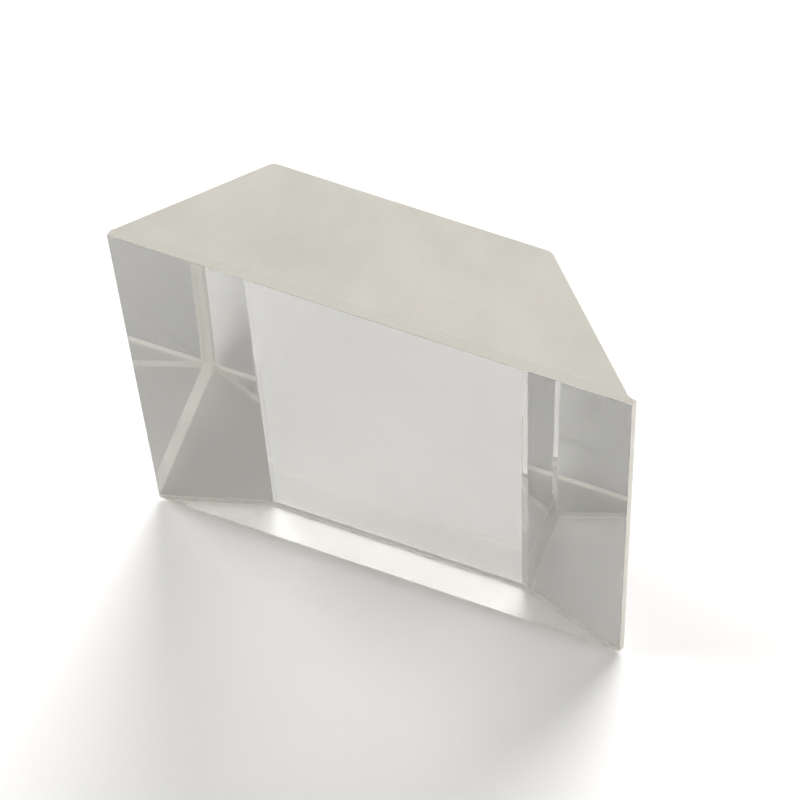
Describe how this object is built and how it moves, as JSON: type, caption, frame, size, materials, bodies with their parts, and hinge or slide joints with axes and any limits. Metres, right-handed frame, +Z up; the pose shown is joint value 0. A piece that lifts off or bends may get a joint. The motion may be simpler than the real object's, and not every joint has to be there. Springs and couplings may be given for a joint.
{
  "type": "dove prism",
  "caption": "Glass dove prism: a bar of trapezoid section with a polished base, roof and sloping ends, ground sides and bevelled edges, standing on a ground side.",
  "frame": {"origin": "middle of the lower ground side on which the prism stands", "axes": "+X along the length from sharp edge to sharp edge, +Y from the base face to the roof face, +Z up across the width"},
  "size_m": [0.0414, 0.01, 0.05],
  "materials": {
    "optical_glass": "clear crown glass, polished base, roof and end faces, fine-ground sides and bevels"
  },
  "bodies": {
    "root": {"prism": "optical_glass"}
  },
  "joints": []
}
